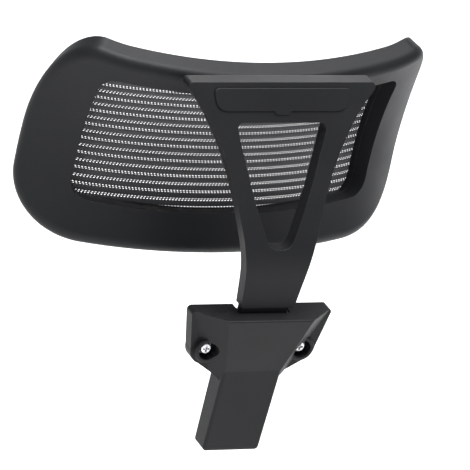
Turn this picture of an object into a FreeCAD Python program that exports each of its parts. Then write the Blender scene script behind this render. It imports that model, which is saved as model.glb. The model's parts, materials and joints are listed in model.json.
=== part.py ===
import FreeCAD, Part
import math
import os

# Headrest of a mesh office chair: a holder that screws to the rear of the backrest's top rail, a
# V-shaped yoke whose stem slides in it, and a curved mesh pad that tilts on the yoke's crossbar.
#
# Millimetres. +Z is up along the stem, +Y is to the rear and the head is on the -Y side. The origin
# is on the mounting face, midway between the two mounting screws.

V = FreeCAD.Vector

# ---- driving dimensions ----

# holder
SCREW_SPACING = 80.0        # between the two mounting screws
SCREW_R = 2.5               # mounting screw thread
SCREW_REACH = 12.0          # thread that stands out of the mounting face
COLLAR_TOP = 33.0
COLLAR_FRONT_HALF = 60.0    # half width of the collar at the mounting face
COLLAR_LIP_HALF = 36.0      # half width of the collar at its rear lip
COLLAR_DEPTH = 27.0
EAR_R = 13.0                # outer radius of a screw ear
EAR_DEPTH = 10.0
BOSS_R = 10.5
BOSS_DEPTH = 14.0
RECESS_R = 7.5              # counterbore round a screw head
RECESS_FLOOR = 6.0
SLEEVE_TOP = 20.0           # its end inside the collar
SLEEVE_BOTTOM = -88.0
SLEEVE_CORNER = 4.0
SLEEVE_HALF_TOP = 25.0
SLEEVE_HALF_BOTTOM = 23.8
SLEEVE_DEPTH = 17.0
NECK_Z = -24.0              # where the ears run into the sleeve

# stem and blade
BLADE_HALF = 20.0
BLADE_FRONT = 5.0
BLADE_BACK = 13.0
BLADE_BOTTOM = -70.0
TRAVEL = 50.0               # height adjustment
SHOULDER_Z = 38.0
STEM_HALF = 22.5
STEM_FRONT = 6.0
STEM_BACK = 16.0
SLIDE_GAP = 0.1
LINER_T = 1.2
PLATE_T = 3.6

# yoke
YOKE_LEAN = 27.0            # how far the arms lean forward from the stem
BEND_Z = 81.0               # where the rear faces of stem and arms would meet
ARM_T = 10.0
YOKE_TOP = 198.5
CROSSBAR_HALF = 83.0
CROSSBAR_H = 27.0
CROSSBAR_FRONT = -56.0
BOX_HALF = 62.0             # the crossbar is a deep box this far out, and plain arm beyond it
SHOULDER = (64.0, 21.0)     # half width at a depth below the top, where crossbar turns into arms
ARM_WAIST = (44.0, 56.0)    # the same, half way down the arms
THROAT_HALF = 27.0          # outer half width level with the crotch
CROTCH_Z = 86.0             # lowest point of the opening between the arms
CROTCH_HALF = 8.5
OPENING_HALF = 39.0         # half width of the opening under the crossbar
OPENING_WAIST = (23.0, 34.0)    # half width at a height above the crotch
WALL = 2.6

# hinge axis and stations
HINGE_Y = -49.0
HINGE_Z = 186.0
HINGE_X = 40.0              # centre of each hinge station
PIN_R = 2.5
BUSH_GAP = 0.05
BUSH_T = 0.8
LUG_HALF = 6.0
EAR_T = 2.5
FRICTION_T = 1.0
SIDE_GAP = 0.05

# pad, in its own frame: x across, y to the rear, z up, origin at the middle of its rear face.
# Its outline is given on the curved face, as lengths along and up from that middle.
PAD_Y = -78.0
PAD_Z = 115.2
PAD_LEAN = 2.0              # top leans to the rear of the stem's line
PAD_H = 156.0
PAD_HALF = 177.0
PAD_T = 19.0
CENTRE_R = 420.0            # plan curve, middle
WING_R = 115.0              # plan curve, wings
CENTRE_ANGLE = 15.4         # half angle of the middle arc
SIDE_R = 180.0              # side curve: top and bottom edge bend to the rear
BOW = 16.0                  # the lower edge would be this much higher at the wing ends
TOP_CORNER = (39.5, 75.0)   # length of the wing's top corner, along and down
LOW_CORNER = (60.0, 36.0)
TOP_RAIL = 19.0
LOW_RAIL = 31.0
WINDOW_HALF = 129.0
WINDOW_CORNER = 12.0
SHELL = 3.0
RIM = 5.0                   # outer lip that stands round the fabric
REAR_ROUND = 8.0            # rounding of the outline, rear and front
FRONT_ROUND = 1.5
RING_T = 5.0
MESH_T = 1.2
MESH_RECESS = 1.6
GROOVE_IN = 1.6             # from the rim to the groove
GROOVE_W = 2.6
GROOVE_DEPTH = 3.4
FIT = 0.1                   # clearance between parts that are fitted by hand
TOUCH = 0.02                # clearance between faces that bear on each other

# pan-head screws: head radius, head height, thread radius, length
PLATE_SCREW = (2.9, 1.9, 1.5, 9.0)
MOUNT_SCREW_HEAD = (4.8, 3.4)
COVER_SCREW = (2.4, 1.5, 1.15, 9.0)
RING_SCREW = (2.7, 1.8, 1.39, 8.0)
BRACKET_SCREW = (2.6, 1.5, 1.44, 7.0)

FAR = 600.0


# ---- helpers ----

def box(x0, x1, y0, y1, z0, z1):
    return Part.makeBox(x1 - x0, y1 - y0, z1 - z0, V(x0, y0, z0))


def rod(radius, start, end):
    along = end - start
    return Part.makeCylinder(radius, along.Length, start, along)


def mirror(shape):
    return shape.mirror(V(0, 0, 0), V(1, 0, 0))


def both_sides(shape):
    return Part.makeCompound([shape, mirror(shape)])


def fuse(first, *rest):
    return first.fuse(list(rest)).removeSplitter()


def corner_curve(before, corner, after):
    """A conic arc from before to after, tangent to both sides of the corner."""
    curve = Part.BezierCurve()
    curve.setPoles([before, corner, after])
    half_turn = (before - corner).getAngle(after - corner) / 2
    curve.setWeight(2, math.sin(half_turn))
    return curve.toShape()


def rounded(corners, plane):
    """A closed wire through corners (a, b) or (a, b, r) or (a, b, before, after), given in a plane."""
    points = [plane(c[0], c[1]) for c in corners]
    edges = []
    last = None
    first = None
    for i, corner in enumerate(corners):
        here = points[i]
        if len(corner) == 2:
            start = end = here
        else:
            back = (points[i - 1] - here).normalize()
            onward = (points[(i + 1) % len(points)] - here).normalize()
            start = here + back * corner[2]
            end = here + onward * corner[-1]
        if last is not None and last.distanceToPoint(start) > 1e-6:
            edges.append(Part.makeLine(last, start))
        if first is None:
            first = start
        if len(corner) > 2:
            edges.append(corner_curve(start, here, end))
        last = end
    if last.distanceToPoint(first) > 1e-6:
        edges.append(Part.makeLine(last, first))
    return Part.Wire(edges)


def front_plane(y=0.0):
    return lambda a, b: V(a, y, b)


def plan_plane(z):
    return lambda a, b: V(a, b, z)


def side_plane(x=0.0):
    return lambda a, b: V(x, a, b)


def front_prism(corners, y0, y1):
    """An outline given as (x, z), extruded from y0 to y1."""
    return Part.Face(rounded(corners, front_plane(y0))).extrude(V(0, y1 - y0, 0))


def side_prism(corners, x0, x1):
    """An outline given as (y, z), extruded from x0 to x1."""
    return Part.Face(rounded(corners, side_plane(x0))).extrude(V(x1 - x0, 0, 0))


def mirrored_outline(half):
    """A right half outline from top to bottom, closed over to the left."""
    left = [(-c[0],) + tuple(c[1:2]) + tuple(reversed(c[2:])) for c in reversed(half)]
    return half + left


def round_edges(shape, radius, wanted):
    edges = [e for e in shape.Edges if wanted(e)]
    return shape.makeFillet(radius, edges)


def save(node, *shapes):
    solids = [s for shape in shapes for s in shape.Solids]
    shape = solids[0] if len(solids) == 1 else Part.makeCompound(solids)
    shape.exportStep("parts/" + node + ".step")


# ---- fasteners ----

def level_edges(shape, z):
    return [e for e in shape.Edges if abs(e.BoundBox.ZMin - z) < 1e-6 and e.BoundBox.ZLength < 1e-6]


def pan_screw(head_r, head_h, shank_r, length):
    """Screw with its head's seat at z = 0 and its shank along -Z."""
    screw = fuse(rod(head_r, V(0, 0, 0), V(0, 0, head_h)), rod(shank_r, V(0, 0, 0), V(0, 0, -length)))
    screw = screw.makeFillet(head_h * 0.45, level_edges(screw, head_h))
    screw = screw.makeChamfer(shank_r * 0.25, level_edges(screw, -length))
    return screw.cut(cross_slot(head_r * 0.55, head_h))


def cross_slot(reach, head_h):
    width = reach * 0.3
    bar = box(-reach, reach, -width, width, head_h * 0.45, head_h + 1)
    other = box(-width, width, -reach, reach, head_h * 0.45, head_h + 1)
    return bar.fuse(other)


def placed(shape, position, direction):
    """A copy of a shape, turned so that its +Z points along direction, at a position."""
    copy = shape.copy()
    copy.Placement = FreeCAD.Placement(position, FreeCAD.Rotation(V(0, 0, 1), direction))
    return copy


# ---- holder ----

def flange_outline():
    """Wide at the collar's top, in past the screw ears to the neck, and ending inside the sleeve."""
    x = SCREW_SPACING / 2
    half = [
        (COLLAR_FRONT_HALF, COLLAR_TOP, 4), (x + EAR_R, 0.0), (x + EAR_R * 0.4, -EAR_R * 0.9),
        (SLEEVE_HALF_TOP + 1, NECK_Z, NECK_ROUND), (SLEEVE_HALF_TOP - 6, NECK_Z - 10),
    ]
    return mirrored_outline(half)


def flange():
    """The plate against the rail, round at the screw ears."""
    plate = front_prism(flange_outline(), 0, EAR_DEPTH)
    lobe = rod(EAR_R, V(SCREW_SPACING / 2, 0, 0), V(SCREW_SPACING / 2, EAR_DEPTH, 0))
    return fuse(plate, lobe, mirror(lobe))


def collar_block():
    """The deep part behind the flange: wide and deep at the top, running down into the sleeve."""
    slant = (COLLAR_FRONT_HALF - 2 - COLLAR_LIP_HALF) / (COLLAR_DEPTH - EAR_DEPTH)
    wide = COLLAR_LIP_HALF + COLLAR_DEPTH * slant
    top = [(COLLAR_LIP_HALF, COLLAR_DEPTH), (-wide, COLLAR_DEPTH), (-wide, 0), (wide, 0)]
    fall = (COLLAR_TOP - NECK_Z + 12) / (COLLAR_TOP - NECK_Z - 6)
    down = V(SLEEVE_HALF_TOP - 2 - COLLAR_LIP_HALF, SLEEVE_DEPTH + 1 - COLLAR_DEPTH, NECK_Z + 6 - COLLAR_TOP)
    wedge = Part.Face(rounded(top, plan_plane(COLLAR_TOP))).extrude(down * fall)
    return front_prism(flange_outline(), 0, COLLAR_DEPTH).common(wedge).common(mirror(wedge))


def sleeve_block():
    """The long sleeve behind the blade, a little deeper at the top."""
    side = [
        (0, SLEEVE_BOTTOM), (SLEEVE_DEPTH - 1, SLEEVE_BOTTOM, 3), (SLEEVE_DEPTH + SLEEVE_STEP, NECK_Z + 12),
        (SLEEVE_DEPTH + SLEEVE_STEP, SLEEVE_TOP), (0, SLEEVE_TOP),
    ]
    front = [
        (SLEEVE_HALF_TOP, SLEEVE_TOP), (SLEEVE_HALF_BOTTOM, SLEEVE_BOTTOM, SLEEVE_CORNER),
        (-SLEEVE_HALF_BOTTOM, SLEEVE_BOTTOM, SLEEVE_CORNER), (-SLEEVE_HALF_TOP, SLEEVE_TOP),
    ]
    block = side_prism(side, -FAR, FAR).common(front_prism(front, -1, COLLAR_DEPTH))
    return round_edges(block, SLEEVE_EDGE_R,
                       lambda e: e.BoundBox.YMin > SLEEVE_DEPTH - SLEEVE_STEP and e.BoundBox.ZLength > 40)


NECK_ROUND = 5.0
PLATE_HALF = 36.0           # half width of the front plate across the collar
PLATE_STEP_Z = 14.0         # where it narrows to the sleeve
SLEEVE_STEP = 1.5           # extra depth of the sleeve where it meets the collar
SLEEVE_EDGE_R = 2.2
LIP_R = 1.2
BOSS_EDGE_R = 1.5
CHANNEL_HALF = BLADE_HALF + SLIDE_GAP + LINER_T
CHANNEL_BACK = BLADE_BACK + SLIDE_GAP + LINER_T
CHANNEL_BOTTOM = BLADE_BOTTOM - 2
PLATE_SCREWS = [(-30.0, 22.0), (30.0, 22.0), (0.0, CHANNEL_BOTTOM - 6)]
PLATE_SCREW_R = PLATE_SCREW[2]
PLATE_SEAT = 2.4            # depth of a plate screw's seat behind the mounting face
SHOE_Z = (4.0, 26.0)
SHOE_HALF = 9.0
SHOE_BACK = BLADE_BACK + 2.6
SPRING_BACK = SHOE_BACK + 3.2
STOP_Z = 6.0
STOP_R = 3.0
STOP_FRONT = 1.2            # front end of the stop pin
STOP_REACH = 3.6            # how far it stands into the blade's slot


def plate_outline(gap):
    """Wide across the collar, narrow down the sleeve."""
    wide, narrow = PLATE_HALF - gap, CHANNEL_HALF - 0.6 - gap
    bottom = SLEEVE_BOTTOM + 2.5 + gap
    half = [
        (wide, COLLAR_TOP - 4 - gap, 3), (wide, PLATE_STEP_Z + gap, 3),
        (narrow, PLATE_STEP_Z + gap), (narrow, bottom, 3),
    ]
    return mirrored_outline(half)


def holder_body():
    x = SCREW_SPACING / 2
    boss = rod(BOSS_R, V(x, 0, 0), V(x, BOSS_DEPTH, 0))
    boss = round_edges(boss, BOSS_EDGE_R, lambda e: e.BoundBox.YMin > BOSS_DEPTH - 1e-3)
    body = fuse(flange(), collar_block(), sleeve_block(), boss, mirror(boss))
    body = body.common(box(-FAR, FAR, 0, COLLAR_DEPTH, -FAR, COLLAR_TOP))
    body = round_edges(body, LIP_R, lambda e: e.BoundBox.ZMin > COLLAR_TOP - 1e-3
                       and e.BoundBox.YMin > COLLAR_DEPTH - 1)
    recess = rod(RECESS_R, V(x, RECESS_FLOOR, 0), V(x, COLLAR_DEPTH + 5, 0))
    hole = rod(SCREW_R + 0.3, V(x, -1, 0), V(x, RECESS_FLOOR + 1, 0))
    body = body.cut([recess, mirror(recess), hole, mirror(hole)])
    channel = box(-CHANNEL_HALF, CHANNEL_HALF, -1, CHANNEL_BACK, CHANNEL_BOTTOM, COLLAR_TOP + 5)
    seat = front_prism(plate_outline(0), -1, PLATE_T)
    shoe_pocket = box(-SHOE_HALF - FIT, SHOE_HALF + FIT, CHANNEL_BACK - 1, SPRING_BACK + FIT,
                      SHOE_Z[0] - FIT, SHOE_Z[1] + FIT)
    body = body.cut([channel, seat, shoe_pocket])
    pilots = [rod(PLATE_SCREW_R, V(px, 0, pz), V(px, 13, pz)) for px, pz in PLATE_SCREWS]
    # coring that keeps the walls even, open to the chair's rail
    inner, outer, top, low = PLATE_HALF + 5, COLLAR_FRONT_HALF - 7, COLLAR_TOP - 4, PLATE_STEP_Z
    core = front_prism([(inner, top, 2), (outer, top, 2), (outer - 4, low, 2), (inner, low, 2)],
                       -1, EAR_DEPTH - WALL)
    return body.cut(pilots + [core, mirror(core)])


def holder_front_plate():
    plate = front_prism(plate_outline(FIT), 0, PLATE_T)
    for px, pz in PLATE_SCREWS:
        plate = plate.cut(rod(PLATE_SCREW_R + 0.2, V(px, -1, pz), V(px, PLATE_T + 1, pz)))
        plate = plate.cut(rod(PLATE_SCREW[0] + 0.3, V(px, -1, pz), V(px, PLATE_SEAT, pz)))
    return plate.cut(rod(STOP_R, V(0, STOP_FRONT, STOP_Z), V(0, PLATE_T + 1, STOP_Z)))


def plate_screws():
    screw = pan_screw(*PLATE_SCREW)
    return Part.makeCompound([placed(screw, V(px, PLATE_SEAT, pz), V(0, -1, 0)) for px, pz in PLATE_SCREWS])


def stop_pin():
    return rod(STOP_R, V(0, STOP_FRONT, STOP_Z), V(0, BLADE_FRONT + STOP_REACH, STOP_Z))


WASHER_T = 1.0
WASHER_R = 5.6


def mounting_screws():
    """Pan-head machine screws, with a waisted shank inside the ear."""
    x = SCREW_SPACING / 2
    seat = RECESS_FLOOR + WASHER_T
    head = pan_screw(*MOUNT_SCREW_HEAD, SCREW_R - 0.2, seat + 1)
    head = placed(head, V(x, seat, 0), V(0, 1, 0))
    thread = rod(SCREW_R, V(x, 0, 0), V(x, -SCREW_REACH, 0))
    tip = [e for e in thread.Edges if e.BoundBox.YLength < 1e-6 and e.BoundBox.YMin < -SCREW_REACH + 1e-3]
    thread = thread.makeChamfer(0.6, tip)
    return both_sides(fuse(head, thread))


def mounting_washers():
    x = SCREW_SPACING / 2
    ring = rod(WASHER_R, V(x, RECESS_FLOOR, 0), V(x, RECESS_FLOOR + WASHER_T, 0))
    return both_sides(ring.cut(rod(SCREW_R + 0.15, V(x, 0, 0), V(x, EAR_DEPTH, 0))))


def glide_liner():
    """C-shaped liner on the blade's left edge."""
    bottom, top = CHANNEL_BOTTOM, COLLAR_TOP - 1.5
    front = PLATE_T
    outer = box(BLADE_HALF - 9, CHANNEL_HALF, front, CHANNEL_BACK, bottom, top)
    inner = box(BLADE_HALF - 10, BLADE_HALF + SLIDE_GAP, BLADE_FRONT - SLIDE_GAP, BLADE_BACK + SLIDE_GAP,
                bottom - 1, top + 1)
    return outer.cut(inner)


def friction_shoe():
    shoe = box(-SHOE_HALF, SHOE_HALF, BLADE_BACK + TOUCH, SHOE_BACK, SHOE_Z[0], SHOE_Z[1])
    return round_edges(shoe, 0.8, lambda e: e.BoundBox.YMax < BLADE_BACK + 0.1)


def friction_spring():
    """Bowed leaf between the shoe and the holder's rear wall."""
    thickness = 0.5
    z0, z1 = SHOE_Z[0] + 1.5, SHOE_Z[1] - 1.5
    middle = (z0 + z1) / 2
    foot, crown = SHOE_BACK, SPRING_BACK - thickness
    inner = Part.Arc(V(0, foot, z0), V(0, crown, middle), V(0, foot, z1)).toShape()
    back = foot + thickness
    outer = Part.Arc(V(0, back, z1), V(0, crown + thickness, middle), V(0, back, z0)).toShape()
    top = Part.makeLine(V(0, foot, z1), V(0, back, z1))
    bottom = Part.makeLine(V(0, back, z0), V(0, foot, z0))
    face = Part.Face(Part.Wire([inner, top, outer, bottom]))
    half = SHOE_HALF - 2
    face.translate(V(-half, 0, 0))
    return face.extrude(V(2 * half, 0, 0))


# ---- yoke ----

SLOPE = math.tan(math.radians(YOKE_LEAN))
ARM_SKEW = ARM_T / math.cos(math.radians(YOKE_LEAN))


def arm_back(z):
    """The rear face of the arms, as y at a height."""
    return STEM_BACK - SLOPE * (z - BEND_Z)


def bent_slab():
    """Stem and arms in side view: straight up, then leaning forward round a wide bend."""
    front_bend = BEND_Z - (ARM_SKEW - (STEM_BACK - STEM_FRONT)) / SLOPE
    side = [
        (STEM_FRONT, SHOULDER_Z), (STEM_BACK, SHOULDER_Z), (STEM_BACK, BEND_Z, 18),
        (arm_back(YOKE_TOP), YOKE_TOP), (arm_back(YOKE_TOP) - ARM_SKEW, YOKE_TOP),
        (STEM_FRONT, front_bend, 15),
    ]
    return side_prism(side, -FAR, FAR)


def yoke_outline():
    """Stem, arms and crossbar seen from the rear."""
    half = [
        (CROSSBAR_HALF, YOKE_TOP, 7),
        (SHOULDER[0], YOKE_TOP - SHOULDER[1], 12),
        (ARM_WAIST[0], YOKE_TOP - ARM_WAIST[1], 18, 30),
        (THROAT_HALF, CROTCH_Z - 6, 30, 24),
        (STEM_HALF, SHOULDER_Z, 2),
    ]
    return mirrored_outline(half)


def yoke_window():
    """The opening between the arms, below the crossbar."""
    half = [
        (OPENING_HALF, YOKE_TOP - CROSSBAR_H, 6),
        (OPENING_WAIST[0], CROTCH_Z + OPENING_WAIST[1], 16),
        (CROTCH_HALF, CROTCH_Z, 6),
    ]
    return mirrored_outline(half)


def crossbar_side():
    """The crossbar in side view: rear face in line with the arms, blunt front towards the pad."""
    under = YOKE_TOP - CROSSBAR_H
    return [
        (CROSSBAR_FRONT + 1.5, YOKE_TOP, 1.5), (CROSSBAR_FRONT, HINGE_Z + 4),
        (CROSSBAR_FRONT, HINGE_Z - 7, 3), (CROSSBAR_FRONT + 8, under, 4),
        (arm_back(under), under, 5), (arm_back(YOKE_TOP), YOKE_TOP),
    ]


def crossbar_block():
    """The deep box round the hinges, narrower towards its underside and its front."""
    block = side_prism(crossbar_side(), -BOX_HALF, BOX_HALF)
    ends = mirrored_outline([(BOX_HALF, YOKE_TOP), (BOX_HALF - 8, YOKE_TOP - CROSSBAR_H)])
    plan = [(BOX_HALF, 0), (BOX_HALF, -44), (BOX_HALF - 7, CROSSBAR_FRONT - 1, 4)]
    plan = plan + [(-c[0],) + c[1:] for c in reversed(plan)]
    footprint = Part.Face(rounded(plan, plan_plane(0))).extrude(V(0, 0, FAR))
    return block.common(front_prism(ends, -FAR, FAR)).common(footprint)


COVER_HALF = 59.0
COVER_T = 2.4               # how deep the cover sits in the crossbar
COVER_PROUD = 1.2           # how far it stands out of the rear face


def tilted(x, n, v):
    """A point on the crossbar's rear face: x across, n behind the face, v up along it from the top."""
    lean = math.radians(YOKE_LEAN)
    y = arm_back(YOKE_TOP) + n * math.cos(lean) - v * math.sin(lean)
    return V(x, y, YOKE_TOP + n * math.sin(lean) + v * math.cos(lean))


def rear_prism(corners, n0, n1):
    """An outline (x, v) on the crossbar's rear face, extruded square to that face."""
    face = Part.Face(rounded(corners, lambda a, b: tilted(a, n0, b)))
    return face.extrude(tilted(0, n1, 0) - tilted(0, n0, 0))


FACE_H = CROSSBAR_H / math.cos(math.radians(YOKE_LEAN))
COVER_TOP_V = -4.0
COVER_LOW_V = -FACE_H + 8.5


def cover_outline(grow):
    half = [
        (COVER_HALF + grow, COVER_TOP_V + grow, 5),
        (COVER_HALF - 4 + grow, COVER_LOW_V - grow, 8),
    ]
    return mirrored_outline(half)


EAR_SLOT = LUG_HALF + SIDE_GAP + FRICTION_T + EAR_T + 0.8     # half width over a station's ear slots
COVER_SCREW_X = 20.0
COVER_SCREW_Z = HINGE_Z + 1
COVER_BOSS_END = CROSSBAR_FRONT + 6.5
COVER_SCREW_SEAT = CROSSBAR_FRONT + 3.0


def hinge_space():
    """The hollow inside the crossbar, with its opening under the cover."""
    low, high = YOKE_TOP - CROSSBAR_H + WALL, YOKE_TOP - WALL
    front, behind = CROSSBAR_FRONT + WALL, COVER_T + 2
    side = [(front, low), (arm_back(low) - behind, low), (arm_back(high) - behind, high), (front, high)]
    half = COVER_HALF - 2
    return side_prism(side, -half, half).fuse(rear_prism(cover_outline(-1.8), -8, 1))


def hinge_lug():
    """Solid web from front wall to rear wall that carries one hinge pin."""
    return box(HINGE_X - LUG_HALF, HINGE_X + LUG_HALF, -FAR, HINGE_Y + 8, 0, FAR)


def ear_slot(inner):
    """Slot in the front wall and underside for one ear of a bracket."""
    a, b = HINGE_X + inner * LUG_HALF, HINGE_X + inner * EAR_SLOT
    return box(min(a, b), max(a, b), CROSSBAR_FRONT - 5, HINGE_Y + 8, HINGE_Z - 30, HINGE_Z + 8.5)


def cover_boss():
    return rod(4.6, V(COVER_SCREW_X, CROSSBAR_FRONT + 0.5, COVER_SCREW_Z),
               V(COVER_SCREW_X, COVER_BOSS_END, COVER_SCREW_Z))


def cover_screw_hole():
    head = rod(COVER_SCREW[0] + 0.3, V(COVER_SCREW_X, CROSSBAR_FRONT - 1, COVER_SCREW_Z),
               V(COVER_SCREW_X, COVER_SCREW_SEAT, COVER_SCREW_Z))
    shank = rod(COVER_SCREW[2] + 0.25, V(COVER_SCREW_X, CROSSBAR_FRONT, COVER_SCREW_Z),
                V(COVER_SCREW_X, COVER_BOSS_END + 1, COVER_SCREW_Z))
    return head.fuse(shank)


def yoke():
    bent = bent_slab().common(front_prism(yoke_outline(), -FAR, FAR))
    body = fuse(bent.cut(front_prism(yoke_window(), -FAR, FAR)), crossbar_block())
    hollow = hinge_space().cut([hinge_lug(), mirror(hinge_lug()), cover_boss(), mirror(cover_boss())])
    body = body.cut([hollow, rear_prism(cover_outline(0), -COVER_T, 5)])
    slots = [ear_slot(inner) for inner in (-1, 1)]
    bore = rod(PIN_R + BUSH_GAP + BUSH_T, V(HINGE_X - LUG_HALF - 1, HINGE_Y, HINGE_Z),
               V(HINGE_X + LUG_HALF + 1, HINGE_Y, HINGE_Z))
    openings = slots + [bore, cover_screw_hole()]
    body = body.cut(openings + [mirror(opening) for opening in openings])
    blade = box(-BLADE_HALF, BLADE_HALF, BLADE_FRONT, BLADE_BACK, BLADE_BOTTOM, SHOULDER_Z + 6)
    blade = round_edges(blade, 1.5, lambda e: e.BoundBox.ZLength > 50)
    return fuse(body, blade).cut(stop_slot())


def stop_slot():
    """Blind slot in the blade's front that runs on the stop pin."""
    half = STOP_R + 0.3
    z0, z1 = STOP_Z - TRAVEL, STOP_Z
    lowest = rod(half, V(0, BLADE_FRONT - 1, z0), V(0, BLADE_FRONT + 4, z0))
    highest = rod(half, V(0, BLADE_FRONT - 1, z1), V(0, BLADE_FRONT + 4, z1))
    middle = box(-half, half, BLADE_FRONT - 1, BLADE_FRONT + 4, z0, z1)
    return lowest.fuse([highest, middle])


def crossbar_cover():
    """Slightly domed cover with a small prising tab in the middle of its lower edge."""
    tab = [(9, COVER_LOW_V + 4), (6, COVER_LOW_V - 2.6, 2)]
    plate = fuse(rear_prism(cover_outline(-FIT), 0.05 - COVER_T, COVER_PROUD),
                 rear_prism(mirrored_outline(tab), 0.05, COVER_PROUD))
    top = tilted(0, COVER_PROUD, 0)
    normal = tilted(0, 1, 0) - tilted(0, 0, 0)
    outer = [e for e in plate.Edges if all(abs((v.Point - top).dot(normal)) < 1e-4 for v in e.Vertexes)]
    plate = plate.makeFillet(0.9, outer)
    return fuse(plate, cover_post(), mirror(cover_post()))


def cover_post():
    """Post behind the front wall's boss, down from the cover's inner face."""
    x, z = COVER_SCREW_X, COVER_SCREW_Z
    inside = rear_prism([(0, 0), (2 * x, 0), (2 * x, -FACE_H), (0, -FACE_H)], -40, -COVER_T + 1)
    post = rod(COVER_SCREW[0] + 1, V(x, COVER_BOSS_END + FIT, z), V(x, 0, z)).common(inside)
    return post.cut(rod(COVER_SCREW[2], V(x, COVER_BOSS_END, z), V(x, COVER_BOSS_END + 6, z)))


def cover_screws():
    """Screws through the crossbar's front wall into the cover's posts."""
    screw = pan_screw(*COVER_SCREW)
    seat = V(COVER_SCREW_X, COVER_SCREW_SEAT, COVER_SCREW_Z)
    return both_sides(placed(screw, seat, V(0, -1, 0)))


def hinge_bushes():
    bushes = []
    for side in (-1, 1):
        a = V(side * HINGE_X - LUG_HALF, HINGE_Y, HINGE_Z)
        b = V(side * HINGE_X + LUG_HALF, HINGE_Y, HINGE_Z)
        bush = rod(PIN_R + BUSH_GAP + BUSH_T, a, b).cut(rod(PIN_R + BUSH_GAP, a, b))
        bushes.append(bush)
    return Part.makeCompound(bushes)


# ---- pad, built in its own frame ----

BEND_ALONG = CENTRE_R * math.radians(CENTRE_ANGLE)      # where the middle arc meets a wing's


def pad_placement():
    return FreeCAD.Placement(V(0, PAD_Y, PAD_Z), FreeCAD.Rotation(V(1, 0, 0), -PAD_LEAN))


def on_pad(shape):
    copy = shape.copy()
    copy.Placement = pad_placement().multiply(copy.Placement)
    return copy


def plan_point(along, depth):
    """A point of the plan curve, depth in front of the rear face."""
    bend = math.radians(CENTRE_ANGLE)
    if abs(along) <= BEND_ALONG:
        angle = abs(along) / CENTRE_R
        x, y = 0.0, -CENTRE_R
        radius = CENTRE_R - depth
    else:
        angle = bend + (abs(along) - BEND_ALONG) / WING_R
        x, y = (CENTRE_R - WING_R) * math.sin(bend), (CENTRE_R - WING_R) * math.cos(bend) - CENTRE_R
        radius = WING_R - depth
    return V(math.copysign(x + radius * math.sin(angle), along), y + radius * math.cos(angle), 0)


def pad_point(along, up, depth=0.0):
    """A point of the pad: lengths along and up its rear face, and depth in front of it."""
    plan = plan_point(along, depth)
    radius = SIDE_R - plan.y
    pitch = up / SIDE_R
    return V(plan.x, SIDE_R - radius * math.cos(pitch), radius * math.sin(pitch))


def plan_edges(depth, end):
    edges = []
    for a, b in [(-end, -BEND_ALONG), (-BEND_ALONG, BEND_ALONG), (BEND_ALONG, end)]:
        arc = Part.Arc(plan_point(a, depth), plan_point((a + b) / 2, depth), plan_point(b, depth))
        edges.append(arc.toShape())
    return edges


def slab(near, far):
    """The curved layer between two depths in front of the rear face, larger than the pad."""
    end = PAD_HALF + 12
    sides = [Part.makeLine(plan_point(a, near), plan_point(a, far)) for a in (-end, end)]
    edges = plan_edges(near, end) + sides + plan_edges(far, end)
    face = Part.Face(Part.Wire(Part.__sortEdges__(edges)))
    turn = math.degrees((PAD_H / 2 + 15) / SIDE_R)
    axis = V(0, SIDE_R, 0)
    face.rotate(axis, V(1, 0, 0), -turn)
    return face.revolve(axis, V(1, 0, 0), 2 * turn)


def corner_points(before, corner, after):
    """Points (along, up) round a corner, from before to after."""
    points = []
    steps = 8
    for i in range(steps + 1):
        t = i / steps
        weights = ((1 - t) ** 2, math.sqrt(2) * t * (1 - t), t ** 2)
        mixed = [sum(k * p[axis] for k, p in zip(weights, (before, corner, after))) for axis in (0, 1)]
        points.append((mixed[0] / sum(weights), mixed[1] / sum(weights)))
    return points


def square_curve(points, y):
    """A smooth curve where lines square to the pad's face, through the given points, meet a plane."""
    hits, steps = [], [0.0]
    for along, up in points:
        foot = pad_point(along, up)
        line = pad_point(along, up, 1.0) - foot
        hits.append(foot + line * ((y - foot.y) / line.y))
    for a, b in zip(points, points[1:]):
        steps.append(steps[-1] + math.dist(a, b))
    curve = Part.BSplineCurve()
    curve.interpolate(Points=hits, Parameters=steps)
    return curve.toShape()


def square_body(half, top, low, top_corner, low_corner):
    """A cutting body whose sides stand square to the pad's face all round an outline."""
    def low_edge(along):
        return low + BOW * (along / PAD_HALF) ** 2

    foot = half - low_corner[0]
    tip = low_edge(foot) + 2 * BOW * foot / PAD_HALF ** 2 * low_corner[0]
    high, deep = top - top_corner[1], low_edge(half) + low_corner[1]
    right = [
        corner_points((half - top_corner[0], top), (half, top), (half, high)),
        [(half, high + (deep - high) * k / 4) for k in range(5)],
        corner_points((half, deep), (half, tip), (foot, low_edge(foot))),
    ]
    left = [[(-along, up) for along, up in reversed(path)] for path in reversed(right)]
    bottom = [(foot * k / 4, low_edge(foot * k / 4)) for k in range(4, -5, -1)]
    over = [(left[-1][-1][0] * k / 4, top) for k in range(4, -5, -1)]
    paths = right + [bottom] + left + [over]
    rear, front = [[square_curve(path, y) for path in paths] for y in (18.0, -80.0)]
    sides = [Part.makeRuledSurface(a, b) for a, b in zip(rear, front)]
    shell = Part.Shell(sides + [Part.Face(Part.Wire(rear)), Part.Face(Part.Wire(front))])
    shell.sewShape()
    return Part.Solid(shell)


def pad_outline(inset):
    shrink = 1 - inset / 90.0
    top_corner = [length * shrink for length in TOP_CORNER]
    low_corner = [length * shrink for length in LOW_CORNER]
    return square_body(PAD_HALF - inset, PAD_H / 2 - inset, inset - PAD_H / 2, top_corner, low_corner)


def window(grow):
    corner = [WINDOW_CORNER + grow] * 2
    top, low = PAD_H / 2 - TOP_RAIL + grow, LOW_RAIL - grow - PAD_H / 2
    return square_body(WINDOW_HALF + grow, top, low, corner, corner)


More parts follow.
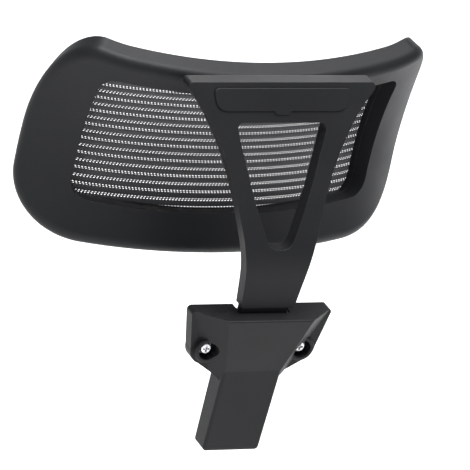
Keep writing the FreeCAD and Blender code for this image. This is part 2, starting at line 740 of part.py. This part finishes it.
POST_R = 3.5
RING_PILOT_R = RING_SCREW[2] + 0.01
RING_FRONT = PAD_T - MESH_RECESS
RING_BACK = RING_FRONT - RING_T
RING_SEAT = RING_FRONT - 2.2        # depth of a ring screw's seat
SCREW_INSET = RIM + GROOVE_IN + GROOVE_W + 4.3


def post_places():
    """Where the ring screws go, as (along, up)."""
    high, low = PAD_H / 2 - SCREW_INSET, SCREW_INSET + 5 - PAD_H / 2
    side = (WINDOW_HALF + PAD_HALF) / 2 - 1
    right = [(12.0, high), (80.0, high), (35.0, low), (95.0, low + 4), (side, 22.0), (side, -18.0)]
    return right + [(-along, up) for along, up in right]


def square_rod(radius, place, near, far):
    """A round rod square to the pad's face between two depths."""
    along, up = place
    return rod(radius, pad_point(along, up, near), pad_point(along, up, far))


def rounded_rim(body, radius, depth):
    """Round the outline's edges that lie at one depth."""
    layer, inner = slab(depth - 1, depth + 1), pad_outline(1)

    def wanted(edge):
        middle = edge.valueAt((edge.FirstParameter + edge.LastParameter) / 2)
        return layer.isInside(middle, 0.01, True) and not inner.isInside(middle, 0.01, True)
    return round_edges(body, radius, wanted)


def pad_rear_frame():
    body = rounded_rim(slab(0, PAD_T).common(pad_outline(0)), REAR_ROUND, 0)
    body = rounded_rim(body, FRONT_ROUND, PAD_T).cut(window(0))
    hollow = slab(SHELL, PAD_T + 4).common(pad_outline(RIM)).cut(window(SHELL))
    ring_room = slab(RING_BACK, PAD_T + 4).common(window(SHELL + 1))
    shell = body.cut(hollow).cut(ring_room)
    posts = [square_rod(POST_R, place, 1.0, RING_BACK - FIT) for place in post_places()]
    shell = fuse(shell, hinge_seat(), mirror(hinge_seat()), *posts)
    pilots = [square_rod(RING_PILOT_R, place, 4.0, PAD_T) for place in post_places()]
    for x, up in bracket_screw_places():
        pilots.append(on_rail(rod(BRACKET_SCREW[2] + 0.01, V(x, 5, up), V(x, -9, up))))
    return shell.cut(pilots)


def pad_front_ring():
    ring = slab(RING_BACK + TOUCH, RING_FRONT).common(pad_outline(RIM + FIT)).cut(window(0))
    groove = slab(RING_FRONT - GROOVE_DEPTH, PAD_T).common(pad_outline(RIM + GROOVE_IN))
    ring = ring.cut(groove.cut(pad_outline(RIM + GROOVE_IN + GROOVE_W)))
    holes = [square_rod(RING_PILOT_R + 0.25, place, RING_BACK - 2, PAD_T) for place in post_places()]
    holes += [square_rod(RING_SCREW[0] + 0.3, place, RING_SEAT, PAD_T) for place in post_places()]
    return ring.cut(holes)


def ring_screws():
    screw = pan_screw(*RING_SCREW)
    screws = []
    for along, up in post_places():
        seat = pad_point(along, up, RING_SEAT)
        outward = (pad_point(along, up, PAD_T) - seat).normalize()
        screws.append(placed(screw, seat, outward))
    return Part.makeCompound(screws)


def mesh_panel():
    near = RING_FRONT + 0.05
    return slab(near, near + MESH_T).common(pad_outline(RIM + 0.4))


def mesh_edge_strip():
    strip = slab(RING_FRONT - GROOVE_DEPTH + FIT, RING_FRONT).common(pad_outline(RIM + GROOVE_IN + FIT))
    return strip.cut(pad_outline(RIM + GROOVE_IN + GROOVE_W - FIT))


# ---- hinge parts that move with the pad ----
# They are built in the rail's frame: like the pad's, but with its origin in the middle of the top
# rail's rear face and turned to stand square to it.

RAIL_UP = (PAD_H - TOP_RAIL) / 2
SEAT_Y = -1.0               # the seat's rear face
SEAT_HALF = 13.0
SEAT_H = 17.0
BRACKET_T = 2.5
BRACKET_H = 15.0
EAR_NOSE_R = 6.5
EAR_X = LUG_HALF + SIDE_GAP + FRICTION_T    # from the station's middle to an ear
STACK = EAR_X + EAR_T
HARDWARE_R = 4.3            # pin head, washers, springs and nut corners
PIN_HEAD_H = 1.8
PIN_TAIL = 6.0              # pin beyond the outer ear, for spring and nut
SPRING_H = 1.6
NUT_H = 3.0
NUT_COLLAR_H = 1.0


def rail_placement():
    pitch = FreeCAD.Rotation(V(1, 0, 0), -math.degrees(RAIL_UP / SIDE_R))
    return FreeCAD.Placement(pad_point(0, RAIL_UP), pitch)


def on_rail(shape):
    copy = shape.copy()
    copy.Placement = rail_placement().multiply(copy.Placement)
    return copy


def hinge_axis():
    """Where the hinge axis crosses the middle of the rail's frame."""
    return pad_placement().multiply(rail_placement()).inverse().multVec(V(0, HINGE_Y, HINGE_Z))


def hinge_point(x):
    axis = hinge_axis()
    return V(x, axis.y, axis.z)


def hinge_rod(radius, x0, x1):
    return rod(radius, hinge_point(x0), hinge_point(x1))


def hinge_seat():
    """Flat seat on the top rail with a solid backing, on the pad."""
    left, right = HINGE_X - SEAT_HALF, HINGE_X + SEAT_HALF
    return on_rail(box(left, right, 0.5 - RING_BACK, SEAT_Y, -SEAT_H / 2, SEAT_H / 2))


def bracket_screw_places():
    return [(side * HINGE_X, up) for side in (-1, 1) for up in (-4.4, 4.4)]


def bracket_ear(x0, x1):
    """Plate from the bracket's base to a round nose about the pin."""
    axis = hinge_axis()
    reach = V(0, axis.y - SEAT_Y, axis.z)
    across = V(0, -reach.z, reach.y).normalize() * EAR_NOSE_R
    above, below = hinge_point(0) + across, hinge_point(0) - across
    corners = [(SEAT_Y, -BRACKET_H / 2), (below.y, below.z), (above.y, above.z), (SEAT_Y, BRACKET_H / 2)]
    return side_prism(corners, x0, x1).fuse(hinge_rod(EAR_NOSE_R, x0, x1))


def hinge_bracket():
    """U-shaped bracket of the left station: a base on the seat and two ears that reach the pin."""
    x = HINGE_X
    base = box(x - STACK, x + STACK, SEAT_Y, SEAT_Y + BRACKET_T, -BRACKET_H / 2, BRACKET_H / 2)
    bracket = fuse(base, bracket_ear(x - STACK, x - EAR_X), bracket_ear(x + EAR_X, x + STACK))
    bracket = bracket.cut(hinge_rod(PIN_R + TOUCH, x - 20, x + 20))
    for side_x, up in bracket_screw_places():
        bracket = bracket.cut(rod(BRACKET_SCREW[2] + 0.26, V(side_x, -5, up), V(side_x, 5, up)))
    return bracket


def bracket_screws():
    screw = pan_screw(*BRACKET_SCREW)
    places = bracket_screw_places()
    return Part.makeCompound([placed(screw, V(x, SEAT_Y + BRACKET_T, up), V(0, 1, 0)) for x, up in places])


def hinge_pin():
    """Headed pin, head towards the middle of the chair."""
    head_x = HINGE_X - STACK - TOUCH
    shank = hinge_rod(PIN_R, head_x, HINGE_X + STACK + PIN_TAIL)
    return fuse(shank, hinge_rod(HARDWARE_R, head_x - PIN_HEAD_H, head_x))


def friction_washers():
    rings = []
    for inner in (-1, 1):
        near = HINGE_X + inner * (LUG_HALF + SIDE_GAP)
        ring = hinge_rod(HARDWARE_R, near, near + inner * (FRICTION_T - TOUCH))
        rings.append(ring.cut(hinge_rod(PIN_R + 0.1, near - 5, near + 5)))
    return both_sides(Part.makeCompound(rings))


def disc_springs():
    """Dished washers under the nuts."""
    base = hinge_point(HINGE_X + STACK + TOUCH)
    outward = V(1, 0, 0)
    dish = SPRING_H - 0.8
    narrow = HARDWARE_R - 1.0
    outer = Part.makeCone(HARDWARE_R, narrow, dish, base, outward)
    inner = Part.makeCone(HARDWARE_R - 0.7, narrow - 0.7, dish, base, outward)
    cone = outer.cut(inner)
    rim = rod(narrow, base + outward * dish, base + outward * SPRING_H)
    return both_sides(fuse(cone, rim).cut(rod(PIN_R + 0.1, base - outward, base + outward * 5)))


def hinge_nuts():
    """Hexagon lock nuts with a rounded collar."""
    base = hinge_point(HINGE_X + STACK + 2 * TOUCH + SPRING_H)
    outward = V(1, 0, 0)
    corners = []
    for i in range(7):
        turn = math.radians(60 * i)
        corners.append(base + V(0, HARDWARE_R * math.cos(turn), HARDWARE_R * math.sin(turn)))
    hexagon = Part.Face(Part.makePolygon(corners)).extrude(outward * NUT_H)
    collar = rod(HARDWARE_R * 0.8, base + outward * NUT_H, base + outward * (NUT_H + NUT_COLLAR_H))
    return both_sides(fuse(hexagon, collar).cut(rod(PIN_R + 0.01, base - outward, base + outward * 9)))


def on_hinge(shape):
    return on_pad(on_rail(shape))


# ---- write the pieces ----

os.makedirs("parts", exist_ok=True)

save("holder_body", holder_body())
save("holder_front_plate", holder_front_plate())
save("plate_screws", plate_screws())
save("mounting_screws", mounting_screws())
save("mounting_washers", mounting_washers())
save("glide_liner_left", glide_liner())
save("glide_liner_right", mirror(glide_liner()))
save("friction_shoe", friction_shoe())
save("friction_spring", friction_spring())
save("stop_pin", stop_pin())
save("yoke", yoke())
save("crossbar_cover", crossbar_cover())
save("cover_screws", cover_screws())
save("hinge_bushes", hinge_bushes())
save("pad_rear_frame", on_pad(pad_rear_frame()))
save("pad_front_ring", on_pad(pad_front_ring()))
save("ring_screws", on_pad(ring_screws()))
save("mesh_panel", on_pad(mesh_panel()))
save("mesh_edge_strip", on_pad(mesh_edge_strip()))
save("hinge_bracket_left", on_hinge(hinge_bracket()))
save("hinge_bracket_right", on_hinge(mirror(hinge_bracket())))
save("bracket_screws", on_hinge(bracket_screws()))
save("hinge_pin_left", on_hinge(hinge_pin()))
save("hinge_pin_right", on_hinge(mirror(hinge_pin())))
save("friction_washers", on_hinge(friction_washers()))
save("disc_springs", on_hinge(disc_springs()))
save("hinge_nuts", on_hinge(hinge_nuts()))
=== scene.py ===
import bpy
import bmesh
import json
import math
from mathutils import Matrix, Vector
from mathutils.bvhtree import BVHTree


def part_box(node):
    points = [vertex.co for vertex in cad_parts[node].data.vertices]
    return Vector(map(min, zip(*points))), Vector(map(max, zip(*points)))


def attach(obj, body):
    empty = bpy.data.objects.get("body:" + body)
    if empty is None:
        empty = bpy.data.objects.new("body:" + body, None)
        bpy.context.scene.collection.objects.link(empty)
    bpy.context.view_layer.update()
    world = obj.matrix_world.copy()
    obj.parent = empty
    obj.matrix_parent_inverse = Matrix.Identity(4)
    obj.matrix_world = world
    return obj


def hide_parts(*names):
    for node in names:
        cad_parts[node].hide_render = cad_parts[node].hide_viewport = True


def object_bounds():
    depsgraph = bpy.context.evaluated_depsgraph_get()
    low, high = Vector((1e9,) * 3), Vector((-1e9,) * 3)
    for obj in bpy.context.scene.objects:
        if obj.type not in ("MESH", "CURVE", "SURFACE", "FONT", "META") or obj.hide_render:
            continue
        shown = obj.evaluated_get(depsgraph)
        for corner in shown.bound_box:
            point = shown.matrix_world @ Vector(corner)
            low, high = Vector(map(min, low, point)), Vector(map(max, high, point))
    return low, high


# Looks for a mesh office chair's headrest: a knitted net in a moulded ring, on a V-shaped yoke.
# Lengths are in metres and everything is placed from the frame.

# the net's weave
ROW_PITCH = 0.0062          # from one row of openings to the next
CELL = 0.0026               # from one opening to the next along a row
BAND_HALF = 0.00225         # half height of the knitted band between two rows of openings
BAND_T = 0.00045            # its half thickness
BAND_SWELL = 0.10           # how much fuller it is at a stitch
TIE_HALF = 0.00058          # half width of a tie between two bands
TIE_T = 0.0003              # half thickness of ties and threads
TIE_SWELL = 1.5             # how much wider a tie is where it enters a band
TIE_OVERLAP = 0.4           # share of a band's half height that a tie runs into
THREAD_HALF = 0.00040       # half width of the fine thread that runs through each row of openings
BAND_SIDES = 6
TIE_SIDES = 4
STEPS_PER_CELL = 3
SHORTEST_RUN = 4            # points in the shortest piece of band or thread

# rays that find the sheet
RAY_START = 0.05            # how far in front of it they start
RAY_ASIDE = 3e-6            # how far a second ray is moved
RAY_SKIP = 1e-5             # from the front face on towards the back face
EDGE_HALVINGS = 26

# the net's hem
HEM_W = 0.0048
HEM_T = 0.0009
HEM_INSET = 0.0002          # from the sheet's edge
HEM_ROUND = 0.0004          # how far its inner edge bulges
HEM_FLATTEN = 0.6           # crowds its steps towards the sheet's far ends
HEM_STEPS = 240

# studio and camera
FLOOR_SIZE = 30.0
FLOOR_DROP = 0.16           # from the lowest point to the floor
FLOOR_GLOW = 0.12
SKY_COLOUR = (0.95, 0.97, 1.0, 1.0)
SKY_LIGHT = 0.55            # what the sky gives as light
SKY_SEEN = 0.95             # what the camera sees of it
# name, place from the object's centre, diameter, watts
LIGHTS = (
    ("key", (-0.2, 0.2, 1.9), 1.3, 68),
    ("fill", (1.8, 1.6, 0.7), 1.5, 6),
    ("front", (-1.2, -1.9, 0.9), 1.5, 16),
)
CAMERA_BACK = (0.469, 0.764, 0.443)     # from the object to the camera
CAMERA_UP = (-0.051, -0.559, 0.827)
CAMERA_DISTANCE = 4.85
CAMERA_LENS = 490

SHARP_ANGLE = 28            # degrees between two faces that meet in a sharp edge on a CAD node

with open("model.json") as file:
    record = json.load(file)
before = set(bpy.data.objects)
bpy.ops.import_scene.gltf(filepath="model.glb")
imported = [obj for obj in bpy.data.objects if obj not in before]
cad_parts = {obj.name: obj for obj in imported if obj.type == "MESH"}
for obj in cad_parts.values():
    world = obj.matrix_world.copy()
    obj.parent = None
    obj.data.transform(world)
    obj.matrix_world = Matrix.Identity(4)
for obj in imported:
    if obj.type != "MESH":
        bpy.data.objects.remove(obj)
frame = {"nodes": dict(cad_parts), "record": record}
nodes = frame["nodes"]
size_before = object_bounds()


# ---- materials ----

class Nodes:
    """Short ways to add nodes to one material."""

    def __init__(self, name):
        self.material = bpy.data.materials.new(name)
        self.material.use_nodes = True
        self.tree = self.material.node_tree
        self.shader = self.tree.nodes["Principled BSDF"]
        self.place = self.add("ShaderNodeTexCoord").outputs["Object"]

    def add(self, kind, **settings):
        node = self.tree.nodes.new(kind)
        for key, value in settings.items():
            setattr(node, key, value)
        return node

    def link(self, source, target):
        if isinstance(source, (int, float)):
            target.default_value = source
        else:
            self.tree.links.new(source, target)

    def noise(self, scale, detail=3.0, rough=0.55, stretch=None):
        """Soft noise with features of about 1 / scale metres."""
        node = self.add("ShaderNodeTexNoise")
        node.inputs["Scale"].default_value = scale
        node.inputs["Detail"].default_value = detail
        node.inputs["Roughness"].default_value = rough
        place = self.place
        if stretch:
            mapping = self.add("ShaderNodeMapping")
            mapping.inputs["Scale"].default_value = stretch
            self.link(place, mapping.inputs["Vector"])
            place = mapping.outputs["Vector"]
        self.link(place, node.inputs["Vector"])
        return node.outputs["Fac"]

    def cells(self, scale):
        """How far each place is from the nearest of many scattered points."""
        node = self.add("ShaderNodeTexVoronoi")
        node.inputs["Scale"].default_value = scale
        self.link(self.place, node.inputs["Vector"])
        return node.outputs["Distance"]

    def span(self, value, low, high, to_low=0.0, to_high=1.0):
        """A value between low and high, mapped to one between to_low and to_high."""
        node = self.add("ShaderNodeMapRange")
        self.link(value, node.inputs["Value"])
        node.inputs["From Min"].default_value = low
        node.inputs["From Max"].default_value = high
        node.inputs["To Min"].default_value = to_low
        node.inputs["To Max"].default_value = to_high
        return node.outputs["Result"]

    def math(self, operation, a, b):
        node = self.add("ShaderNodeMath", operation=operation)
        self.link(a, node.inputs[0])
        self.link(b, node.inputs[1])
        return node.outputs["Value"]

    def mix(self, share, colour_a, colour_b):
        """Two colours mixed. The node names its sockets alike for every data type, so the colour
        sockets are picked by number."""
        node = self.add("ShaderNodeMix", data_type="RGBA")
        self.link(share, node.inputs["Factor"])
        for socket, colour in ((node.inputs[6], colour_a), (node.inputs[7], colour_b)):
            if isinstance(colour, tuple):
                socket.default_value = colour + (1.0,)
            else:
                self.tree.links.new(colour, socket)
        return node.outputs[2]

    def soft_edges(self, radius):
        """A normal that rounds the mesh's edges, and a mask that is 1 along them."""
        bevel = self.add("ShaderNodeBevel", samples=6)
        bevel.inputs["Radius"].default_value = radius
        geometry = self.add("ShaderNodeNewGeometry")
        dot = self.add("ShaderNodeVectorMath", operation="DOT_PRODUCT")
        self.link(bevel.outputs["Normal"], dot.inputs[0])
        self.link(geometry.outputs["Normal"], dot.inputs[1])
        return bevel.outputs["Normal"], self.span(dot.outputs["Value"], 0.99, 0.86)

    def bump(self, height, distance, strength=1.0, normal=None):
        node = self.add("ShaderNodeBump")
        node.inputs["Strength"].default_value = strength
        node.inputs["Distance"].default_value = distance
        self.link(height, node.inputs["Height"])
        if normal is not None:
            self.link(normal, node.inputs["Normal"])
        self.link(node.outputs["Normal"], self.shader.inputs["Normal"])

    def finish(self, colour, roughness, metallic=0.0):
        self.link(colour, self.shader.inputs["Base Color"])
        self.link(roughness, self.shader.inputs["Roughness"])
        self.shader.inputs["Metallic"].default_value = metallic
        return self.material


def grey(value, tint=0.0):
    """A linear grey, a little blue for a positive tint."""
    return (value * (1 - tint), value, value * (1 + 2 * tint))


def shade(colour, share):
    """A colour made darker or lighter, as far as white."""
    return tuple(min(1.0, channel * share) for channel in colour)


def moulded_plastic(name, base, worn, roughness, grain=1500.0, edge=0.0006):
    """Moulded plastic with a fine spark texture, faint flow clouds and paler worn edges."""
    m = Nodes(name)
    normal, edges = m.soft_edges(edge)
    clouds = m.noise(16.0, detail=4.0)
    speckle = m.noise(grain * 0.7, detail=2.0, rough=0.6)
    patches = m.span(m.noise(90.0, detail=5.0, rough=0.7), 0.42, 0.72, to_low=0.12, to_high=0.75)
    wear = m.math("MULTIPLY", edges, patches)
    lighter = shade(base, 1.16)
    body = m.mix(m.span(clouds, 0.3, 0.7), shade(base, 0.80), lighter)
    fine = m.mix(m.span(speckle, 0.35, 0.7), shade(base, 0.9), lighter)
    colour = m.mix(wear, m.mix(0.45, body, fine), worn)
    dull = m.span(clouds, 0.25, 0.75, to_low=roughness - 0.07, to_high=roughness + 0.08)
    rough = m.math("SUBTRACT", dull, m.math("MULTIPLY", wear, 0.12))
    pits = m.math("ADD", m.cells(grain), m.math("MULTIPLY", speckle, 0.8))
    m.bump(pits, distance=0.00006, strength=0.55, normal=normal)
    m.shader.inputs["Specular IOR Level"].default_value = 0.22
    return m.finish(colour, rough)


def metal(name, base, stain, roughness, brushed=(1.0, 1.0, 1.0)):
    """Bright metal with fine brushing, smudges and rounded edges."""
    m = Nodes(name)
    normal, edges = m.soft_edges(0.0003)
    smudge = m.noise(240.0, detail=4.0)
    lines = m.noise(2600.0, detail=2.0, rough=0.6, stretch=brushed)
    colour = m.mix(m.span(smudge, 0.4, 0.75), base, stain)
    colour = m.mix(m.math("MULTIPLY", edges, 0.5), colour, shade(base, 1.3))
    rough = m.span(smudge, 0.3, 0.75, to_low=roughness - 0.06, to_high=roughness + 0.12)
    m.bump(lines, distance=0.00003, strength=0.5, normal=normal)
    return m.finish(colour, rough, metallic=1.0)


def knitted(name, base, pale, twist):
    """Spun yarn: a diagonal twist, loose fibre and a soft sheen."""
    m = Nodes(name)
    wave = m.add("ShaderNodeTexWave", wave_type="BANDS", bands_direction="DIAGONAL")
    wave.inputs["Scale"].default_value = twist
    wave.inputs["Distortion"].default_value = 1.5
    wave.inputs["Detail"].default_value = 2.0
    m.link(m.place, wave.inputs["Vector"])
    fibre = m.noise(2200.0, detail=4.0, rough=0.7)
    clouds = m.noise(22.0, detail=3.0)
    strand = m.mix(m.span(wave.outputs["Fac"], 0.1, 0.9), base, pale)
    colour = m.mix(m.span(clouds, 0.3, 0.7, to_high=0.35), strand, shade(base, 0.7))
    height = m.math("ADD", wave.outputs["Fac"], m.math("MULTIPLY", fibre, 0.6))
    m.bump(height, distance=0.00012, strength=0.8)
    m.shader.inputs["Sheen Weight"].default_value = 0.25
    m.shader.inputs["Sheen Roughness"].default_value = 0.5
    return m.finish(colour, m.span(fibre, 0.3, 0.7, to_low=0.68, to_high=0.88))


def rubber(name, base):
    """Matt rubber with chalky patches."""
    m = Nodes(name)
    normal, edges = m.soft_edges(0.0004)
    chalk = m.span(m.noise(160.0, detail=5.0, rough=0.65), 0.45, 0.75, to_high=0.4)
    colour = m.mix(m.math("MAXIMUM", chalk, m.math("MULTIPLY", edges, 0.3)), base, grey(0.16))
    m.bump(m.noise(1800.0, detail=3.0), distance=0.00005, strength=0.6, normal=normal)
    return m.finish(colour, m.span(m.noise(60.0), 0.3, 0.7, to_low=0.78, to_high=0.92))


# how each material slot looks; the brackets' black powder coat is grained like plastic and wears
# to bare steel
LOOKS = {
    "support_plastic": moulded_plastic(
        "support_plastic_look", grey(0.0080, 0.05), grey(0.06, 0.02), roughness=0.50),
    "frame_plastic": moulded_plastic(
        "frame_plastic_look", grey(0.0088, 0.07), grey(0.07, 0.02), roughness=0.46),
    "strip_plastic": moulded_plastic(
        "strip_plastic_look", grey(0.012), grey(0.06), roughness=0.5, grain=2200.0, edge=0.0003),
    "liner_plastic": moulded_plastic(
        "liner_plastic_look", grey(0.62), grey(0.75), roughness=0.38, grain=2200.0, edge=0.0003),
    "shoe_rubber": rubber("shoe_rubber_look", grey(0.012)),
    "plated_steel": metal(
        "plated_steel_look", grey(0.72, 0.01), grey(0.5), roughness=0.3),
    "spring_steel": metal(
        "spring_steel_look", grey(0.42, 0.03), (0.33, 0.30, 0.27), roughness=0.36,
        brushed=(0.1, 1.0, 1.0)),
    "bracket_steel": moulded_plastic(
        "bracket_steel_look", grey(0.02), grey(0.34), roughness=0.36, grain=900.0, edge=0.0003),
    "bush_brass": metal(
        "bush_brass_look", (0.72, 0.52, 0.22), (0.5, 0.33, 0.14), roughness=0.33),
    "net_fabric": knitted(
        "net_fabric_look", grey(0.036, 0.03), grey(0.085, 0.02), twist=420.0),
}


def finish_as(obj, slot):
    obj.data.materials.clear()
    obj.data.materials.append(LOOKS[slot])


def smooth_by_angle(mesh, degrees):
    mesh.polygons.foreach_set("use_smooth", [True] * len(mesh.polygons))
    mesh.set_sharp_from_angle(angle=math.radians(degrees))


def dress_cad_nodes():
    for part in frame["record"]["subparts"]:
        if part["node"] != "mesh_panel":
            smooth_by_angle(nodes[part["node"]].data, SHARP_ANGLE)
            finish_as(nodes[part["node"]], part["material_slot"])


# ---- the net ----

class Sheet:
    """The curved surface the fabric lies in, read from the frame's plain panel."""

    def __init__(self, node):
        self.low, self.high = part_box(node)
        self.centre = (self.low + self.high) / 2
        self.tree = BVHTree.FromObject(nodes[node], bpy.context.evaluated_depsgraph_get())
        front = self.hit(self.centre.x, self.centre.z)[0]
        back = self.tree.ray_cast(front + Vector((0, RAY_SKIP, 0)), Vector((0, 1, 0)))[0]
        self.thickness = (back - front).length

    def hit(self, x, z):
        """The front face's point at x, z and its normal; a second ray starts a hair aside in case the
        first slips between two faces."""
        for aside in (0.0, RAY_ASIDE):
            start = Vector((x + aside, self.low.y - RAY_START, z + aside))
            place, normal = self.tree.ray_cast(start, Vector((0, 1, 0)))[:2]
            if place is not None:
                return place, -normal if normal.y > 0 else normal
        return None, None

    def inside(self, x, z):
        return self.hit(x, z)[0] is not None

    def middle(self, x, z):
        """The point half way through the sheet, and the surface's normal there."""
        place, normal = self.hit(x, z)
        return place - normal * (self.thickness / 2), normal

    def edge(self, start, towards):
        """How far the sheet reaches from a point (x, z) in a direction."""
        near, far = 0.0, (self.high - self.low).length
        for _ in range(EDGE_HALVINGS):
            half = (near + far) / 2
            if self.inside(start[0] + towards[0] * half, start[1] + towards[1] * half):
                near = half
            else:
                far = half
        return near

    def columns(self, step):
        """Points (x, length) at even lengths along the sheet's middle line, from edge to edge."""
        right = []
        x, length = self.centre.x, 0.0
        while self.inside(x, self.centre.z):
            right.append((x, length))
            normal = self.hit(x, self.centre.z)[1]
            x += step * abs(normal.y) / math.hypot(normal.x, normal.y)
            length += step
        left = [(2 * self.centre.x - x, -length) for x, length in reversed(right[1:])]
        return left + right

    def runs(self, columns, z):
        """The stretches of a level line that lie inside the sheet, as lists of (x, length)."""
        found, run = [], []
        for x, length in columns:
            if self.inside(x, z):
                run.append((x, length))
            else:
                found.append(run)
                run = []
        return [run for run in found + [run] if len(run) >= SHORTEST_RUN]


def tube(bm, path, sides):
    """A closed flattened tube through points (place, normal, half width, half thickness)."""
    rings = []
    last = len(path) - 1
    for i, (place, normal, half_w, half_t) in enumerate(path):
        along = (path[min(i + 1, last)][0] - path[max(i - 1, 0)][0]).normalized()
        across = normal.cross(along).normalized()
        out = along.cross(across)
        ring = []
        for k in range(sides):
            turn = 2 * math.pi * k / sides
            aside = across * (half_w * math.cos(turn)) + out * (half_t * math.sin(turn))
            ring.append(bm.verts.new(place + aside))
        rings.append(ring)
    for a, b in zip(rings, rings[1:]):
        for k in range(sides):
            j = (k + 1) % sides
            bm.faces.new((a[k], a[j], b[j], b[k]))
    bm.faces.new(list(reversed(rings[0])))
    bm.faces.new(rings[-1])


def stagger(row):
    """Every second row is shifted by half a cell."""
    return 0.5 * (row % 2)


def add_band(bm, sheet, columns, z, row):
    """A knitted band, a little fuller at each stitch."""
    for run in sheet.runs(columns, z):
        path = []
        for x, length in run:
            fullness = 1 + BAND_SWELL * math.cos(2 * math.pi * (length / CELL + stagger(row)))
            path.append(sheet.middle(x, z) + (BAND_HALF * fullness, BAND_T * fullness))
        tube(bm, path, BAND_SIDES)


def add_thread(bm, sheet, columns, z):
    """The fine thread that runs through a row of openings."""
    for run in sheet.runs(columns, z):
        tube(bm, [sheet.middle(x, z) + (THREAD_HALF, TIE_T) for x, _ in run], TIE_SIDES)


def add_ties(bm, sheet, columns, z, row):
    """Short yarns from one band up to the next, one beside each opening."""
    low = z + BAND_HALF * (1 - TIE_OVERLAP)
    high = z + ROW_PITCH - BAND_HALF * (1 - TIE_OVERLAP)
    lean = CELL * (stagger(row) - 0.25)
    for x, _ in columns:
        path = []
        for share, fullness in ((-1, TIE_SWELL), (0, 1.0), (1, TIE_SWELL)):
            spot = (x + share * lean, (low + high) / 2 + share * (high - low) / 2)
            if sheet.inside(*spot):
                path.append(sheet.middle(*spot) + (TIE_HALF * fullness, TIE_T))
        if len(path) == 3:
            tube(bm, path, TIE_SIDES)


def finished_mesh(bm, name, body):
    bmesh.ops.recalc_face_normals(bm, faces=bm.faces)
    mesh = bpy.data.meshes.new(name)
    bm.to_mesh(mesh)
    bm.free()
    mesh.polygons.foreach_set("use_smooth", [True] * len(mesh.polygons))
    obj = bpy.data.objects.new(name, mesh)
    bpy.context.scene.collection.objects.link(obj)
    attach(obj, body)
    return obj


def knit_net(sheet):
    """Level bands, with ties across each row of openings and a fine thread along it."""
    bm = bmesh.new()
    stitches = sheet.columns(CELL / STEPS_PER_CELL)
    cells = sheet.columns(CELL)
    rows = int((sheet.high.z - sheet.low.z) / ROW_PITCH)
    bottom = sheet.centre.z - (rows - 1) / 2 * ROW_PITCH
    for row in range(rows):
        z = bottom + row * ROW_PITCH
        add_band(bm, sheet, stitches, z, row)
        add_ties(bm, sheet, cells, z, row)
        add_thread(bm, sheet, cells, z + ROW_PITCH / 2)
    return finished_mesh(bm, "net", "pad")


def hem(sheet):
    """The flat woven edge that the strip is sewn to: a closed band inside the sheet's outline."""
    bm = bmesh.new()
    section = (
        (HEM_INSET, -1),
        (HEM_W, -1),
        (HEM_W + HEM_ROUND, 0),
        (HEM_W, 1),
        (HEM_INSET, 1),
    )
    rings = []
    for i in range(HEM_STEPS):
        turn = 2 * math.pi * i / HEM_STEPS
        towards = (math.cos(turn), math.sin(turn) * HEM_FLATTEN)
        size = math.hypot(*towards)
        towards = (towards[0] / size, towards[1] / size)
        reach = sheet.edge((sheet.centre.x, sheet.centre.z), towards)
        ring = []
        for inset, lift in section:
            x = sheet.centre.x + towards[0] * (reach - inset)
            z = sheet.centre.z + towards[1] * (reach - inset)
            place, normal = sheet.middle(x, z)
            ring.append(bm.verts.new(place + normal * (lift * HEM_T / 2)))
        rings.append(ring)
    for a, b in zip(rings, rings[1:] + rings[:1]):
        for k in range(len(a)):
            j = (k + 1) % len(a)
            bm.faces.new((a[k], a[j], b[j], b[k]))
    return finished_mesh(bm, "net_hem", "pad")


# ---- studio ----

def soft_light(name, place, aim, size, power):
    light = bpy.data.lights.new(name, "AREA")
    light.shape = "DISK"
    light.size = size
    light.energy = power
    obj = bpy.data.objects.new(name, light)
    bpy.context.scene.collection.objects.link(obj)
    obj.location = place
    obj.rotation_euler = (aim - place).to_track_quat("-Z", "Y").to_euler()


def floor(low):
    bpy.ops.mesh.primitive_plane_add(size=FLOOR_SIZE, location=(0, 0, low.z - FLOOR_DROP))
    plane = bpy.context.object
    plane.name = "floor"
    paper = Nodes("floor_paper")
    tone = paper.mix(paper.span(paper.noise(3.0), 0.3, 0.7), grey(0.90), grey(0.92))
    paper.shader.inputs["Emission Color"].default_value = (1.0, 1.0, 1.0, 1.0)
    paper.shader.inputs["Emission Strength"].default_value = FLOOR_GLOW
    plane.data.materials.append(paper.finish(tone, 0.9))


def sky():
    """A pale surround that looks brighter than the light it gives."""
    world = bpy.data.worlds.new("studio")
    world.use_nodes = True
    tree = world.node_tree
    background = tree.nodes["Background"]
    background.inputs["Color"].default_value = SKY_COLOUR
    seen = tree.nodes.new("ShaderNodeLightPath").outputs["Is Camera Ray"]
    strength = tree.nodes.new("ShaderNodeMapRange")
    strength.inputs["To Min"].default_value = SKY_LIGHT
    strength.inputs["To Max"].default_value = SKY_SEEN
    tree.links.new(seen, strength.inputs["Value"])
    tree.links.new(strength.outputs["Result"], background.inputs["Strength"])
    bpy.context.scene.world = world


def studio(low, high):
    centre = (low + high) / 2
    floor(low)
    sky()
    bpy.context.scene.view_settings.view_transform = "Standard"
    for name, place, size, power in LIGHTS:
        soft_light(name, centre + Vector(place), centre, size, power)


def camera(low, high):
    """From behind, above and to the sitter's left, rolled because the chair's back leans."""
    back = Vector(CAMERA_BACK).normalized()
    right = Vector(CAMERA_UP).cross(back).normalized()
    up = back.cross(right)
    lens = bpy.data.cameras.new("camera")
    lens.lens = CAMERA_LENS
    lens.clip_end = 100
    obj = bpy.data.objects.new("camera", lens)
    bpy.context.scene.collection.objects.link(obj)
    turn = Matrix((right, up, back)).transposed().to_4x4()
    obj.matrix_world = Matrix.Translation((low + high) / 2 + back * CAMERA_DISTANCE) @ turn
    bpy.context.scene.camera = obj


dress_cad_nodes()
fabric = Sheet("mesh_panel")
net = knit_net(fabric)
finish_as(net, "net_fabric")
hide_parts("mesh_panel")
finish_as(hem(fabric), "net_fabric")
studio(*size_before)
camera(*size_before)
